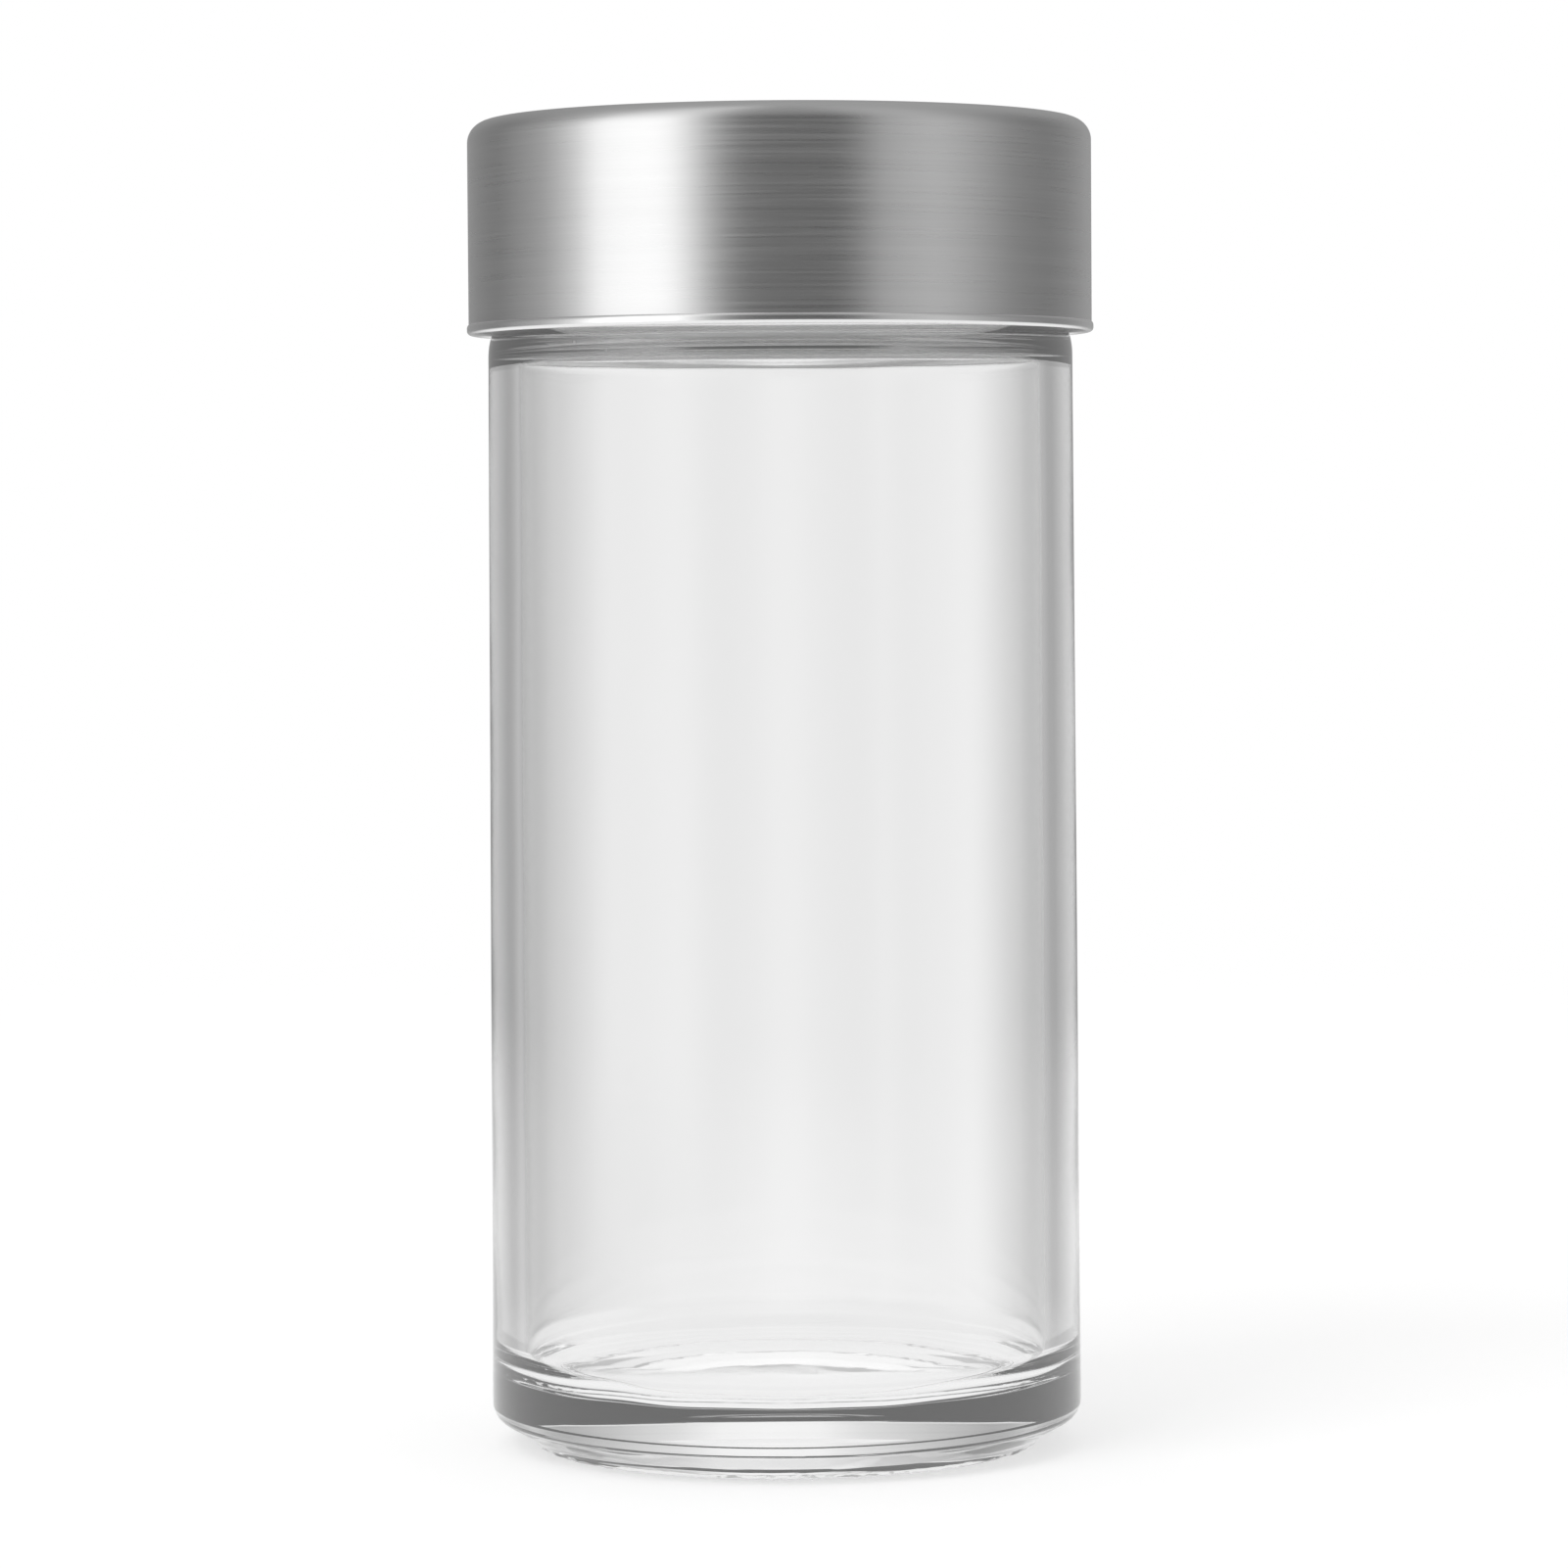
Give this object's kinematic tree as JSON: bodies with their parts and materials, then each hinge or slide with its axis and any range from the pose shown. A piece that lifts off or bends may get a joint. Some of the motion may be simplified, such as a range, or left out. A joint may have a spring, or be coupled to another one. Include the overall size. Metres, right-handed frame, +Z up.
{
  "type": "spice jar",
  "caption": "Round straight-sided clear glass spice jar with a threaded neck and a brushed steel screw lid.",
  "frame": {"origin": "centre of the foot ring, on the surface that the jar stands on", "axes": "+Z up along the jar's axis, through the lid"},
  "size_m": [0.047, 0.047, 0.0994],
  "materials": {
    "clear_glass": "clear fire-polished soda-lime glass",
    "brushed_steel": "stainless steel brushed round the lid, with a bright rolled hem",
    "insert_plastic": "moulded polypropylene",
    "seal_foam": "soft closed-cell sealing disc"
  },
  "bodies": {
    "jar": {"glass_jar": "clear_glass"},
    "seal": {"seal_disc": "seal_foam"},
    "lid": {"lid_shell": "brushed_steel", "lid_insert": "insert_plastic"}
  },
  "joints": [
    {"name": "lid_lift", "type": "slide", "parent": "jar", "child": "seal", "axis": [0, 0, 1], "range_m": [0, 0.021]},
    {"name": "lid_turn", "type": "hinge", "parent": "seal", "child": "lid", "pos_m": [0, 0, 0.0966], "axis": [0, 0, 1], "range_deg": [0, 1798]}
  ],
  "couplings": [
    {"joint": "lid_lift", "follows": "lid_turn", "m_per_rad": 0.00066845}
  ]
}
